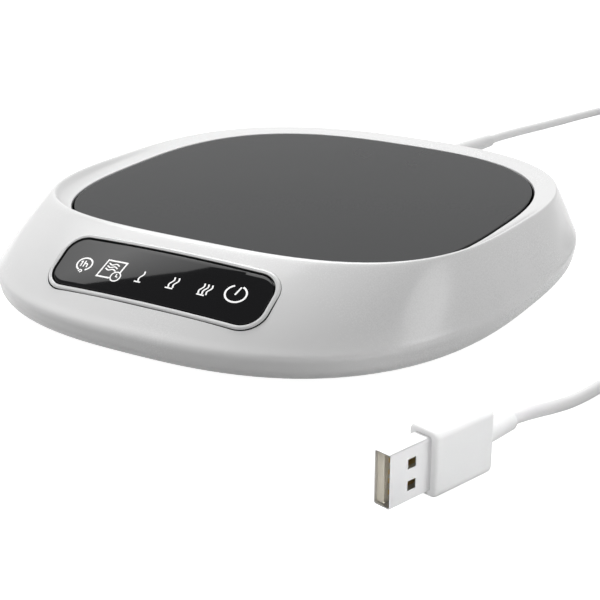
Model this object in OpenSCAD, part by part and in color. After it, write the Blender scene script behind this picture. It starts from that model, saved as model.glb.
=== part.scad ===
// Electric mug warmer: a low rounded-square body with a sprung glass heating plate, a touch panel
// on its sloping front and a thin lead that ends in a USB-A plug.
// The origin is on the floor under the middle of the body. +Z is up, the touch panel faces -Y.

/* [Body] */
// Width of the body at its widest line
body_w = 147; // [145:1:152]
// Extra depth of the sloping front, over the width
front_extra = 15; // [13:1:18]
// Squareness of the body's plan: 2 is an ellipse, more is squarer
body_square = 2.65; // [2.55:0.01:2.8]
// Height of the soft widest line above the floor
crease_z = 7.6; // [7:0.1:8.4]
// Gap under the base, set by the feet
foot_gap = 1.2; // [1:0.1:1.6]
// Wall thickness of the white shell
wall = 2.2; // [2:0.1:2.4]
// How far the bottom edge turns in under the body
under_turn = 4; // [3.5:0.1:5]
// Outward bulge of the side walls, as a share of their run
side_bulge = 0.155; // [0:0.01:0.25]
// Thickness of the base cover
cover_t = 2.2; // [2:0.1:2.6]
// Diameter of a rubber foot
foot_d = 12; // [9:0.5:14]
// Distance of a foot from its base screw, towards the middle
foot_from_screw = 14; // [11:0.5:17]
// Thread diameter of the base screws
base_screw_d = 2.6; // [2.2:0.1:3]
// Distance of the base screws in from the widest line
base_screw_in = 10; // [9.8:0.2:12]

/* [Plate and dish] */
// Width of the square opening for the heating plate
opening_w = 120; // [117:1:121]
// Squareness of the opening's plan at its back corners
opening_square = 2.72; // [2.7:0.01:2.9]
// Squareness of the opening's plan at its front corners
opening_front_square = 3.05; // [2.9:0.01:3.1]
// Height of the plate's top face above the floor
plate_z = 20.5; // [20.3:0.1:22]
// Thickness of the glass plate
plate_t = 3; // [2.6:0.1:3.1]
// Thickness of the silicone ring round the plate
gasket_t = 0.45; // [0.3:0.05:0.6]
// Running gap between that ring and the opening
plate_gap = 0.25; // [0.2:0.05:0.4]
// Width of the dish from the opening to the rim, at the sides
dish_w = 5.3; // [5.1:0.1:5.5]
// How much wider the dish is at the back, and narrower at the front
rim_back = 3.6; // [3:0.1:3.8]
// Squareness of the rim's plan at its back corners
rim_square = 2.55; // [2.5:0.01:2.65]
// Squareness of the rim's plan at its front corners
rim_front_square = 3.3; // [3.15:0.01:3.4]
// Height of the rim above the plate, at the sides
rim_h = 2.2; // [2:0.1:2.3]
// How much higher the rim is at the front, and lower at the back
rim_tilt = 1.8; // [1.6:0.1:1.9]
// How far the plate sinks under the weight of a mug
plate_travel = 0.8; // [0.5:0.1:0.9]

/* [Heater] */
// Width of the aluminium spreader
spreader_w = 96; // [90:1:98]
// Thickness of the spreader
spreader_t = 1.5; // [1.2:0.1:1.6]
// Thickness of the foil heater
film_t = 0.4; // [0.3:0.1:0.5]
// Thickness of the insulation pad
pad_t = 2.5; // [2.4:0.1:2.6]
// Thickness of the carrier's floor and walls
carrier_t = 1.2; // [1:0.1:1.3]
// Width of the carrier's flange beyond the opening, each side
flange_w = 2.2; // [1.6:0.1:2.3]
// Distance of the springs from the plate's middle, each way
spring_at = 34; // [31:0.5:35]
// Outside diameter of a plate spring
spring_d = 7; // [6:0.5:7.5]
// Wire diameter of a plate spring
spring_wire = 0.5; // [0.4:0.05:0.6]
// Turns in a plate spring
spring_turns = 7.5; // [6.5:0.5:8]
// Diameter of the switch's plunger
plunger_d = 3.2; // [2.6:0.1:3.6]

/* [Touch panel] */
// Width of the touch lens
lens_w = 62.8; // [62:0.1:63.5]
// Height of the lens, up the slope
lens_h = 15.6; // [15.2:0.1:16]
// Corner radius of the lens
lens_r = 5.3; // [4:0.1:6.5]
// Thickness of the lens
lens_t = 1.1; // [0.9:0.1:1.2]
// Place of the panel's middle up the front wall, as a share of its height
panel_up = 0.59; // [0.58:0.01:0.61]
// Width of the white ring round the lens
frame_w = 1.45; // [1.2:0.05:1.6]
// How far that ring stands proud of the slope
frame_proud = 0.55; // [0.4:0.05:0.7]
// Radius that the lens is bowed to, across its width
lens_bow = 400; // [380:5:440]
// Pitch of the keys across the lens
key_pitch = 9.05; // [8.9:0.05:9.3]
// Distance of the keys below the lens's middle, down the slope
key_drop = 0.8; // [0.4:0.1:1.6]
// Height of the key marks' square
mark_size = 5.8; // [5:0.1:6.4]
// Width of the lines that the key marks are printed with
mark_line = 0.4; // [0.3:0.05:0.5]

/* [Boards] */
// Width of the main board
board_w = 60; // [58:1:64]
// Depth of the main board
board_d = 44; // [42:1:46]
// Thickness of the boards
board_t = 1.2; // [1:0.1:1.4]
// Height of the bosses under the main board
board_rise = 1.6; // [1.5:0.1:1.8]
// Thread diameter of the small screws
small_screw_d = 2; // [1.6:0.1:2.2]

/* [Cord and plug] */
// Diameter of the lead
cord_d = 3; // [2.8:0.1:3.2]
// Diameter of the moulded strain relief at the body
boot_d = 5.2; // [4.8:0.1:6.8]
// Width of the USB-A shell
usb_w = 12; // [11.9:0.1:12.1]
// Height of the USB-A shell
usb_h = 4.5; // [4.4:0.1:4.6]
// Length of the shell outside its overmould
usb_l = 11.8; // [11.5:0.1:12]
// Sheet thickness of the USB-A shell
usb_t = 0.3; // [0.25:0.05:0.35]
// Width of the overmould
mould_w = 15; // [14.6:0.1:16]
// Length of the overmould
mould_l = 17.4; // [16:0.1:20]
// Height of the overmould
mould_h = 8; // [7.6:0.1:8]
// Length of the plug's own strain relief
relief_l = 10; // [8:0.5:12]
// Diameter of that strain relief at the overmould
relief_d = 5.6; // [5:0.1:6]

/* [Hidden] */

$fn = 48;
ring_points = 72;
eps = 0.01;
seat_gap = 0.3;         // air between a moving piece and its stop
slip = 0.1;             // clearance of a piece that drops into a pocket
thread_gap = 0.1;       // how much wider a screw hole is than its thread
mm_up = [0, 0, 1];

// Plan curves: half width, half depth, squareness behind, the Y of the middle, and squareness in front
body_d = body_w + front_extra;
plate_y = front_extra / 2;
crease_ring = [body_w / 2, body_d / 2, body_square, 0, body_square];
rim_ring = [opening_w / 2 + dish_w, opening_w / 2 + dish_w, rim_square, plate_y + rim_back,
    rim_front_square];
opening_ring = [opening_w / 2, opening_w / 2, opening_square, plate_y, opening_front_square];
rim_z = plate_z + rim_h;

// Heights inside the body
cover_top = foot_gap + cover_t;
glass_z = plate_z - plate_t;
lip_z = glass_z + seat_gap;
flange_t = spreader_t;
film_z = glass_z - spreader_t - film_t;
pad_z = film_z - pad_t;
carrier_z = pad_z - carrier_t;
board_z = cover_top + board_rise;
board_top = board_z + board_t;
board_y = plate_y + 3;

// Touch panel: its middle on the front wall, and the slope there
rim_front = plate_y + rim_back - opening_w / 2 - dish_w;
front_run = body_d / 2 + rim_front;
front_rise = rim_z + rim_tilt - crease_z;
panel_y = rim_front - front_run * (1 - side_share(panel_up));
panel_z = crease_z + front_rise * panel_up;
panel_tilt = atan(front_rise / (front_run * (1 + side_bulge * (1 - 2 * panel_up))));
lens_top = frame_proud - 0.35;
lens_back = lens_top - lens_t;
seat_z = lens_back - 0.4;
ledge = 2.5;            // width of the step that the lens sits on
shroud_t = 2.6;
key_count = 6;
window = key_pitch - 2;

// Cord: hole in the back wall, strain relief, and the routes of the lead
port = [5.6, 78.9, 13.9];
boot_root_y = 74.6;
boot_end = [8, 116.5, 11.5];
boot_turn = -atan((boot_end[0] - port[0]) / (boot_end[1] - port[1]));
boot_dip = atan((port[2] - boot_end[2]) / norm([boot_end[0] - port[0], boot_end[1] - port[1]]));
inlet_route = [[5.32, 74.36, 14.19], [5.26, 73.5, 14.18], [5.15, 72.4, 13.45], [5.05, 71.2, 12.1],
    [5, 69.6, 10.2], [5, 68.2, 8.9], [5, 66.5, 7.7], [5, 64.8, 6.9], [5, 62.8, 6.7], [5, 55, 6.7]];
core_route = [[0, 55, 6.7], [0, 49, 6.9], [0, 41, 7.3], [0, 34, 7.2], [0, 28, 6.85]];
lead_route = [[8, 116.6, 11.5], [7.95, 119.5, 11.3], [7.8, 124.5, 10.8], [7.8, 130.8, 10.1],
    [8, 144, 8.6], [8.4, 153, 7.6], [8.9, 162, 6.6], [9.4, 171, 5.7], [10, 180, 4.8], [10.6, 189, 4],
    [11.4, 198, 3.2], [12.2, 206, 2.5], [13.2, 213, 2], [14.6, 219.5, 1.6], [17.2, 225.2, 1.5],
    [22.2, 229.6, 1.5], [29.2, 231, 1.5], [36.2, 228.4, 1.5], [42.4, 222, 1.5], [47, 213.5, 1.5],
    [51, 204, 1.5], [54, 195, 1.5], [56.5, 186, 1.5], [59, 177, 1.5], [61, 168, 1.5], [62.7, 159, 1.5],
    [63.9, 150, 1.5], [64.6, 141, 1.5], [65, 132, 1.5], [65, 123, 1.5], [65, 114, 1.5], [65, 107, 1.5],
    [65, 101.5, 1.5]];
coil_at = [86, 101.5];
coil_mid_r = 16.5;
coil_turns = 7;
tail_route = [[66.5, 101.5, 4.1], [66.7, 95, 4.5], [68, 88.5, 4.3], [70.6, 81.5, 3], [74, 75, 1.9],
    [78, 67.5, 1.5], [82.5, 60, 1.5], [87, 52, 1.5], [91.3, 43.5, 1.5], [95.3, 35, 1.5],
    [98.8, 26, 1.5], [102, 17, 1.5], [104.6, 8, 1.5], [106.4, -1, 1.5], [107.3, -10, 1.5],
    [107.3, -18.5, 1.5], [106.5, -26.5, 1.5], [105.4, -34, 1.5], [104.4, -40.5, 1.6],
    [103.6, -46.5, 2.1], [102.9, -52.2, 2.9], [102.2, -57.6, 4], [101.5, -62.8, 5.2],
    [100.7, -67.6, 6.3], [99.9, -71.8, 7.1], [99.2, -74.7, 7.5], [98.6, -76.8, 7.5]];
plug_at = [98.6, -76.8, mould_w / 2];
plug_turn = -106;

// A point of a rounded square, at angle t round it
function square_r(a, b, n, t) = pow(pow(abs(cos(t)) / a, n) + pow(abs(sin(t)) / b, n), -1 / n);
function ring_point(ring, t, inset = 0) =
    let (n = sin(t) < 0 ? ring[4] : ring[2], r = square_r(ring[0] - inset, ring[1] - inset, n, t))
        [r * cos(t), r * sin(t) + ring[3]];
function plan(ring, inset = 0) =
    [for (i = [0:ring_points - 1]) ring_point(ring, 360 * i / ring_points, inset)];
function mix(a, b, u) = a + (b - a) * u;
function mix_ring(p, q, u) = [for (i = [0:4]) mix(p[i], q[i], u)];

// A ring of points in space: plan, inset, height at the plate's middle, and tilt to the front
function ring3(ring, inset, z, tilt = 0) =
    [for (p = plan(ring, inset)) [p[0], p[1], z - tilt * (p[1] - plate_y) / (opening_w / 2)]];

// Side wall from the crease at u = 0 to the rim at u = 1, bulging a little
function side_share(u) = 1 - (1 - u) * (1 + side_bulge * u);
function side_ring(u, inset = 0, drop = 0) =
    ring3(mix_ring(crease_ring, rim_ring, side_share(u)), inset, mix(crease_z, rim_z, u) - drop,
        rim_tilt * u);

// Dish from the rim at v = 0 to the opening at v = 1, flatter towards the plate
function dish_fall(v) = pow(1 - v, 1.5);
function dish_ring(v, drop = 0) = ring3(mix_ring(rim_ring, opening_ring, v), 0,
    plate_z + rim_h * dish_fall(v) - drop, rim_tilt * dish_fall(v));

// Closed skin through rings of equal count; the last ring joins the first
module ring_loop(rings) {
    n = len(rings[0]);
    m = len(rings);
    faces = [for (k = [0:m - 1]) for (i = [0:n - 1])
        let (a = k * n + i, b = k * n + (i + 1) % n,
             c = ((k + 1) % m) * n + (i + 1) % n, d = ((k + 1) % m) * n + i)
        each [[a, c, b], [a, d, c]]];
    polyhedron([for (r = rings) each r], faces, convexity = 6);
}

// Round tube along a list of points, with flat ends
function unit(v) = v / norm(v);
function heading(path, i) = unit(path[min(i + 1, len(path) - 1)] - path[max(i - 1, 0)]);
module tube(path, r, sides = 8) {
    m = len(path);
    points = [for (i = [0:m - 1])
        let (t = heading(path, i), s = unit(cross(t, mm_up)), w = cross(s, t))
        for (k = [0:sides - 1]) let (a = 360 * k / sides) path[i] + r * (cos(a) * s + sin(a) * w)];
    skin = [for (i = [0:m - 2]) for (k = [0:sides - 1])
        let (a = i * sides + k, b = i * sides + (k + 1) % sides)
        each [[a, b, b + sides], [a, b + sides, a + sides]]];
    polyhedron(points, concat(skin, [[for (k = [sides - 1:-1:0]) k]],
        [[for (k = [0:sides - 1]) (m - 1) * sides + k]]), convexity = 6);
}

// Coil spring that stands on z = 0, with its end turns closed
module coil_spring(d, h, turns, wire, steps, sides) {
    r = (d - wire) / 2;
    tube([for (i = [0:turns * steps])
        let (turn = i / steps, climb = min(max((turn - 0.75) / (turns - 1.5), 0), 1))
        [r * cos(360 * turn), -r * sin(360 * turn), wire / 2 + (h - wire) * climb]], wire / 2, sides);
}

// Flat rounded square of width w with the opening's corners, standing on z = 0
module square_plate(w, t) {
    linear_extrude(t)
        polygon(plan([w / 2, w / 2, opening_square, 0, opening_front_square]));
}

// Rounded rectangle, drawn round the origin
module round_rect(w, h, r) {
    square([w - 2 * r, h], center = true);
    square([w, h - 2 * r], center = true);
    for (x = [-1, 1], y = [-1, 1]) translate([x * (w / 2 - r), y * (h / 2 - r)]) circle(r);
}

// Line of width w along flat points
function side_points(p, w) = [for (i = [0:len(p) - 1])
    let (t = unit(p[min(i + 1, len(p) - 1)] - p[max(i - 1, 0)])) p[i] + w / 2 * [-t[1], t[0]]];
module stroke(p, w) {
    back = side_points(p, -w);
    polygon(concat(side_points(p, w), [for (i = [len(p) - 1:-1:0]) back[i]]));
}

module on_plate_middle(z) { translate([0, plate_y, z]) children(); }
module at_corners(at) { for (x = [-at, at], y = [-at, at]) translate([x, plate_y + y, 0]) children(); }
module at_base_screws() {
    for (t = [45:90:315]) let (p = ring_point(crease_ring, t, base_screw_in))
        translate([p[0], p[1], 0]) rotate(t) children();
}
module at_feet() { at_base_screws() translate([-foot_from_screw, 0, 0]) children(); }
module at_panel() { translate([0, panel_y, panel_z]) rotate([panel_tilt, 0, 0]) children(); }

// Places children on key k, square to the bowed face of the lens
function key_x(k) = (k - (key_count - 1) / 2) * key_pitch;
function bow_drop(x) = lens_bow - sqrt(lens_bow * lens_bow - x * x);
module at_key(k) {
    translate([0, -key_drop, -lens_bow]) rotate([0, key_x(k) / lens_bow * 180 / PI, 0])
        translate([0, 0, lens_bow]) children();
}

// Slab bowed across the panel, between two heights over its face
module bowed_slab(lo, hi) {
    translate([0, 0, -lens_bow]) rotate([90, 0, 0]) difference() {
        cylinder(r = lens_bow + hi, h = 2 * lens_h, center = true, $fn = 720);
        cylinder(r = lens_bow + lo, h = 3 * lens_h, center = true, $fn = 720);
    }
}
module panel_block(grow, lo, hi) {
    translate([0, 0, lo]) linear_extrude(hi - lo)
        round_rect(lens_w + 2 * grow, lens_h + 2 * grow, lens_r + grow);
}

// Self-tapping screw with its head's top at z = 0 and its point downwards
module screw(d, l) {
    head_h = 0.6 * d;
    difference() {
        union() {
            translate([0, 0, -head_h]) cylinder(d = 1.9 * d, h = head_h);
            translate([0, 0, -l]) cylinder(d = d, h = l - head_h + eps);
        }
        for (a = [0, 90]) rotate(a) cube([1.2 * d, 0.25 * d, 0.6 * head_h], center = true);
    }
}

top_shell();
heating_plate();
plate_gasket();
panel_frame();
panel_lens();
key_marks();
base_cover();
rubber_feet();
base_screws();
plate_carrier();
heat_spreader();
heater_film();
insulation_pad();
temperature_sensor();
thermal_fuse();
plate_springs();
weight_switch();
switch_plunger();
light_shroud();
touch_board();
touch_springs();
indicator_leds();
ribbon_cable();
main_board();
board_components();
buzzer();
board_screws();
heater_leads();
inlet_lead();
cord_bushing();
cord_clamp();
clamp_screws();
cord_lead();
cord_coil();
cord_tail();
plug_strain_relief();
plug_body();
plug_shell();
plug_tongue();
plug_contacts();

// White moulding with the dish, the panel pocket, the cord hole and four screw bosses
edge_w = 1.6;
boss_r = 3;
boss_z = cover_top + 1.2;
boss_top = crease_z + 3;
boss_roof = 1.4;        // solid end over the screw
module top_shell() {
    drop = 0.9 * wall;
    inset = 0.65 * wall;
    outer = [ring3(crease_ring, under_turn, foot_gap), ring3(crease_ring, under_turn / 2, foot_gap + 0.7),
        ring3(crease_ring, under_turn / 5, foot_gap + 2.2), ring3(crease_ring, 0.25, crease_z - 2),
        side_ring(0), side_ring(0.12), side_ring(0.35), side_ring(0.6), side_ring(0.82),
        side_ring(0.94), side_ring(1, 0, 0.3)];
    dish = [dish_ring(0.1), dish_ring(0.3), dish_ring(0.55), dish_ring(0.85), dish_ring(1, 0.1)];
    inner = [ring3(opening_ring, 0, lip_z), ring3(opening_ring, -flange_w - 0.8, lip_z),
        side_ring(0.8, inset, drop), side_ring(0.5, inset, drop), side_ring(0.2, inset, drop),
        ring3(crease_ring, wall, crease_z - drop / 2),
        ring3(crease_ring, under_turn + edge_w, cover_top),
        ring3(crease_ring, under_turn + edge_w, foot_gap)];
    color("white") difference() {
        union() {
            ring_loop(concat(outer, dish, inner));
            at_base_screws() translate([0, 0, boss_z]) {
                cylinder(r = boss_r, h = boss_top - boss_z);
                translate([0, -0.8, 0]) cube([base_screw_in - wall / 2, 1.6, crease_z - boss_z]);
            }
        }
        at_base_screws() translate([0, 0, boss_z - 1])
            cylinder(d = base_screw_d + thread_gap, h = boss_top - boss_roof - boss_z + 1);
        at_panel() intersection() {
            bowed_slab(seat_z - slip, 8);
            panel_block(frame_w + slip, -9, 7);
        }
        at_panel() panel_block(-ledge, -9, 5);
        translate(port) rotate([-90 - boot_dip, 0, boot_turn])
            cylinder(d = boot_d + 2 * slip, h = 14, center = true);
    }
}

// Glass plate that the mug stands on
plate_w = opening_w - 2 * (plate_gap + gasket_t);
module heating_plate() {
    color([0.38, 0.38, 0.39]) on_plate_middle(glass_z) square_plate(plate_w, plate_t);
}

// Silicone ring bonded round the glass
module plate_gasket() {
    color([0.05, 0.05, 0.05]) on_plate_middle(glass_z) difference() {
        square_plate(plate_w + 2 * gasket_t, plate_t - 0.2);
        translate([0, 0, -1]) square_plate(plate_w, plate_t + 2);
    }
}

// White ring that holds the lens
module panel_frame() {
    color("white") at_panel() difference() {
        intersection() {
            bowed_slab(seat_z, frame_proud);
            panel_block(frame_w, -9, 5);
        }
        intersection() {
            bowed_slab(lens_back, 8);
            panel_block(slip, -9, 7);
        }
        panel_block(-ledge, -10, 6);
    }
}

// Black touch lens
module panel_lens() {
    color([0.03, 0.03, 0.035]) at_panel() intersection() {
        bowed_slab(lens_back, lens_top);
        panel_block(0, -9, 5);
    }
}

// Printed marks: one-hour timer, timed heat, three heat steps and power, each drawn in a unit square
mark_t = 0.1;
line = mark_line / mark_size;
module ring_mark(r, from, to) {
    stroke([for (a = [from:15:to]) r * [cos(a), sin(a)]], line);
}
module wave_mark(h, swing, lean = 0) {
    stroke([for (i = [-8:8]) [swing * sin(i * 32) + lean * i / 8, h * i / 16]], line);
}
module bar_mark(x, y, w, h) { translate([x, y]) square([w, h], center = true); }
module one_hour_mark() {
    ring_mark(0.41, -60, 240);
    polygon([[-0.09, -0.5], [0.09, -0.41], [-0.07, -0.29]]);
    bar_mark(-0.16, -0.05, line, 0.34);
    bar_mark(0.05, -0.02, line, 0.4);
    translate([0.15, -0.1]) ring_mark(0.1, 0, 180);
    bar_mark(0.25, -0.16, line, 0.13);
}
module timed_heat_mark() {
    clock = [0.4, -0.33];
    difference() {
        round_rect(1.1, 1, 0.1);
        round_rect(1.1 - 2 * line, 1 - 2 * line, 0.05);
        translate(clock) circle(0.4);
    }
    for (y = [0.02, 0.16, 0.3]) translate([-0.07, y]) rotate(-80) wave_mark(0.65, 0.05);
    translate(clock) {
        difference() {
            circle(0.3);
            circle(0.3 - line);
        }
        bar_mark(0, 0.08, line, 0.17);
        bar_mark(0.05, 0, 0.15, line);
    }
}
module heat_mark(waves) {
    for (i = [0:waves - 1]) translate([(i - (waves - 1) / 2) * 0.19, 0]) wave_mark(0.62, 0.04, 0.05);
    bar_mark(-0.12, -0.31, 0.24 + 0.05 * waves, line);
}
module power_mark() {
    rotate(90) ring_mark(0.48, 30, 330);
    rotate(-12) bar_mark(0, 0.24, line, 0.48);
}
module key_marks() {
    color("white") at_panel() for (k = [0:key_count - 1]) at_key(k) translate([0, 0, lens_top])
        linear_extrude(mark_t) scale([mark_size, mark_size]) {
            if (k == 0) one_hour_mark();
            if (k == 1) timed_heat_mark();
            if (k > 1 && k < key_count - 1) heat_mark(k - 1);
            if (k == key_count - 1) power_mark();
        }
}

// Bottom cover with bosses, spring cups and the seat of the cord clamp
cover_inset = under_turn + edge_w + seat_gap;
foot_sink = 0.8;
cup_h = 1.2;
screw_sink = foot_gap + 0.3;
clamp_x = inlet_route[len(inlet_route) - 1][0];
clamp_y = 60;
clamp_span = 7;
saddle_z = inlet_route[len(inlet_route) - 1][2] - cord_d / 2;
clamp_z = saddle_z + cord_d;
clamp_t = 2.2;
module base_cover() {
    color([0.9, 0.9, 0.9]) difference() {
        union() {
            translate([0, 0, foot_gap]) linear_extrude(cover_t)
                polygon(plan(crease_ring, cover_inset));
            at_base_screws() cylinder(r = boss_r, h = boss_z);
            at_corners(spring_at) cylinder(d = spring_d + 3, h = cover_top + cup_h);
            board_bosses() cylinder(r = 2.4, h = board_z);
            at_clamp_screws(0) cylinder(r = 2.6, h = clamp_z);
            translate([clamp_x, clamp_y, saddle_z / 2]) cube([8, 3, saddle_z], center = true);
        }
        translate([0, 0, foot_gap - 10]) cube([3 * body_w, 3 * body_w, 20], center = true);
        at_corners(spring_at) translate([0, 0, cover_top]) cylinder(d = spring_d + 0.6, h = cup_h + 1);
        at_base_screws() {
            translate([0, 0, foot_gap - 1]) cylinder(d = base_screw_d + 0.4, h = boss_z);
            translate([0, 0, foot_gap - 1])
                cylinder(d = 2.1 * base_screw_d, h = 1 + screw_sink - foot_gap + 0.6 * base_screw_d);
        }
        at_feet() translate([0, 0, foot_gap - 1]) cylinder(d = foot_d + 2 * slip, h = 1 + foot_sink);
        board_bosses() translate([0, 0, foot_gap + 1]) cylinder(d = small_screw_d + thread_gap, h = board_z);
        at_clamp_screws(foot_gap + 1) cylinder(d = small_screw_d + thread_gap, h = clamp_z);
    }
}
module at_clamp_screws(z) {
    for (x = [-clamp_span, clamp_span]) translate([clamp_x + x, clamp_y, z]) children();
}
module board_bosses() {
    for (x = [-1, 1], y = [-1, 1])
        translate([x * (board_w / 2 - 3.5), board_y + y * (board_d / 2 - 3.5), 0]) children();
}

// Four rubber feet pressed into the cover
module rubber_feet() {
    color([0.25, 0.25, 0.26]) at_feet() {
        cylinder(d1 = foot_d - 1, d2 = foot_d, h = 0.5);
        translate([0, 0, 0.5 - eps]) cylinder(d = foot_d, h = foot_gap + foot_sink - 0.5 + eps);
    }
}

// Four screws that hold the cover to the shell
module base_screws() {
    color("silver") at_base_screws()
        translate([0, 0, screw_sink]) mirror([0, 0, 1])
            screw(base_screw_d, boss_top - boss_roof - 0.5 - screw_sink);
}

// Moulded tray under the glass; its flange catches under the dish lip
module plate_carrier() {
    tray_w = spreader_w + 2 * slip;
    color([0.2, 0.2, 0.21]) on_plate_middle(carrier_z) difference() {
        union() {
            square_plate(tray_w + 2 * carrier_t, glass_z - carrier_z);
            translate([0, 0, glass_z - carrier_z - flange_t])
                square_plate(opening_w + 2 * flange_w, flange_t);
        }
        translate([0, 0, carrier_t]) square_plate(tray_w, glass_z);
        translate([lead_at[0], lead_at[1] - plate_y, -1]) cylinder(r = lead_hole_r, h = carrier_t + 2);
    }
}

// Aluminium plate bonded under the glass
module heat_spreader() {
    color([0.78, 0.79, 0.8]) on_plate_middle(glass_z - spreader_t)
        square_plate(spreader_w, spreader_t);
}

// Etched foil heater in orange film
module heater_film() {
    color([0.8, 0.45, 0.12]) on_plate_middle(film_z) square_plate(spreader_w - 3, film_t);
}

// Felt pad with slots for the fuse, the sensor and the wires
lead_at = [18, plate_y + 14];
lead_hole_r = 3.2;
fuse_at = [-18, plate_y - 12];
sensor_at = [16, plate_y - 14];
module insulation_pad() {
    color([0.85, 0.82, 0.72]) difference() {
        on_plate_middle(pad_z) square_plate(spreader_w - 2, pad_t);
        translate([fuse_at[0], fuse_at[1], pad_z + pad_t]) cube([20, 2.8, 4.8], center = true);
        translate([sensor_at[0], sensor_at[1], pad_z + pad_t]) cube([9, 2.4, 4.6], center = true);
        translate([lead_at[0], lead_at[1], pad_z - 1]) cylinder(r = lead_hole_r, h = pad_t + 2);
    }
}

// Glass bead thermistor against the heater
module temperature_sensor() {
    color([0.1, 0.1, 0.1]) translate([sensor_at[0], sensor_at[1], film_z - 1]) rotate([0, 90, 0]) {
        cylinder(r = 0.9, h = 3, center = true);
        cylinder(r = 0.25, h = 8, center = true);
    }
}

// One-shot thermal fuse against the heater
module thermal_fuse() {
    color([0.75, 0.74, 0.7]) translate([fuse_at[0], fuse_at[1], film_z - 1.2]) rotate([0, 90, 0]) {
        cylinder(r = 1.1, h = 9, center = true);
        cylinder(r = 0.35, h = 18, center = true);
    }
}

// Four springs that lift the plate
module plate_springs() {
    color("silver") at_corners(spring_at) translate([0, 0, cover_top])
        coil_spring(spring_d, carrier_z - cover_top, spring_turns, spring_wire, 12, 5);
}

// Micro switch under the middle of the carrier
switch_w = 6;
switch_top = board_top + 3;
module weight_switch() {
    color([0.12, 0.12, 0.13]) translate([0, plate_y, 0]) difference() {
        translate([-switch_w / 2, -switch_w / 2, board_top])
            cube([switch_w, switch_w, switch_top - board_top]);
        translate([0, 0, board_top + 0.3]) cylinder(d = plunger_d + 0.1, h = 5);
    }
}
module switch_plunger() {
    color([0.85, 0.85, 0.8]) translate([0, plate_y, board_top + 0.5 + plate_travel])
        cylinder(d = plunger_d, h = carrier_z - seat_gap - board_top - 0.5 - plate_travel);
}

// Black spacer on the touch board, with a window for each key
touch_z = lens_back - shroud_t - 0.9;
module light_shroud() {
    color([0.08, 0.08, 0.08]) at_panel() intersection() {
        bowed_slab(-9, lens_back);
        difference() {
            panel_block(-ledge - seat_gap, touch_z, 5);
            for (k = [0:key_count - 1]) translate([key_x(k), 0, 0])
                cube([window, lens_h - 2 * ledge - 3, 20], center = true);
        }
    }
}

// Board with the touch pads
module touch_board() {
    color([0.05, 0.35, 0.2]) at_panel() translate([0, -0.4, touch_z - board_t / 2])
        cube([lens_w - 4, lens_h - 4.4, board_t], center = true);
}

// Sense springs from the board to the back of the lens
module touch_springs() {
    color([0.85, 0.7, 0.35]) at_panel() for (k = [0:key_count - 1]) translate([key_x(k), 0.6, touch_z])
        coil_spring(4.6, lens_back - touch_z - bow_drop(abs(key_x(k)) + 2.3), 2.5, 0.5, 12, 5);
}

// One small lamp under each mark
module indicator_leds() {
    color([1, 0.95, 0.7]) at_panel() for (k = [0:key_count - 1])
        translate([key_x(k), -3, touch_z + 0.3]) cube([1.6, 0.8, 0.6], center = true);
}

// Flat cable from the touch board down to the main board
ribbon_x = [-14, -6];
module ribbon_cable() {
    touch_y = panel_y - 4 * cos(panel_tilt) - (touch_z - board_t) * sin(panel_tilt);
    start = [touch_y, panel_z - 4 * sin(panel_tilt) + (touch_z - board_t) * cos(panel_tilt) - 0.3];
    board_front = board_y - board_d / 2;
    color([0.92, 0.92, 0.9]) translate([ribbon_x[0], 0, 0]) rotate([90, 0, 90])
        linear_extrude(ribbon_x[1] - ribbon_x[0])
        stroke([start, start + [0.4, -2], [start[0] + 3, board_top + 2.4], [start[0] + 8, board_top + 1],
            [board_front - 8, board_top + 0.7], [board_front + 2, board_top + 0.7]], 0.3);
}

// Control board on its four bosses
module main_board() {
    color([0.05, 0.35, 0.2]) difference() {
        translate([-board_w / 2, board_y - board_d / 2, board_z]) cube([board_w, board_d, board_t]);
        board_bosses() cylinder(d = small_screw_d + 0.3, h = 20);
    }
}
module on_board(x, y, size) {
    translate([x - size[0] / 2, board_y + y - size[1] / 2, board_top]) cube(size);
}

// Chips, inductor, capacitors and the ribbon's connector
module board_components() {
    color([0.15, 0.15, 0.16]) {
        on_board(-16, 5, [9, 9, 1.6]);
        on_board(-16, 16, [6, 5, 1.4]);
        on_board(14, -12, [5, 6, 1.5]);
        on_board(-23, -4, [1.6, 3.2, 0.9]);
        on_board(-10, -4, [3.2, 1.6, 0.9]);
        on_board(12, 2, [3.2, 1.6, 0.9]);
        on_board((ribbon_x[0] + ribbon_x[1]) / 2, 3.5 - board_d / 2, [11, 3, 1.4]);
        translate([24, board_y - 6, board_top]) cylinder(d = 7, h = 3.6);
        translate([24, board_y + 4, board_top]) cylinder(d = 6.3, h = 3.8);
    }
}

// Sounder
module buzzer() {
    color([0.1, 0.1, 0.1]) translate([-20, board_y - 13, board_top]) difference() {
        cylinder(d = 9, h = 3.6);
        translate([0, 0, 2]) cylinder(d = 1.8, h = 3);
    }
}

// Four screws that hold the main board
module board_screws() {
    color("silver") board_bosses() translate([0, 0, board_top + 0.6 * small_screw_d])
        screw(small_screw_d, 4.5);
}

// Wires from the main board up to the heater and the sensor
module heater_leads() {
    color([0.75, 0.1, 0.1]) for (w = [[-1.2, 0, 0.65], [1.2, 0, 0.65], [0, 1.5, 0.4], [0, -1.5, 0.4]])
        translate([lead_at[0] + w[0], lead_at[1] + w[1], board_top])
            cylinder(r = w[2], h = film_z - board_top);
}

// End of the lead inside the body, with its two cores
module inlet_lead() {
    color([0.92, 0.92, 0.92]) {
        tube(inlet_route, cord_d / 2);
        for (x = [-0.75, 0.75]) translate([clamp_x + x, 0, 0]) tube(core_route, 0.6, 6);
    }
}

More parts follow.
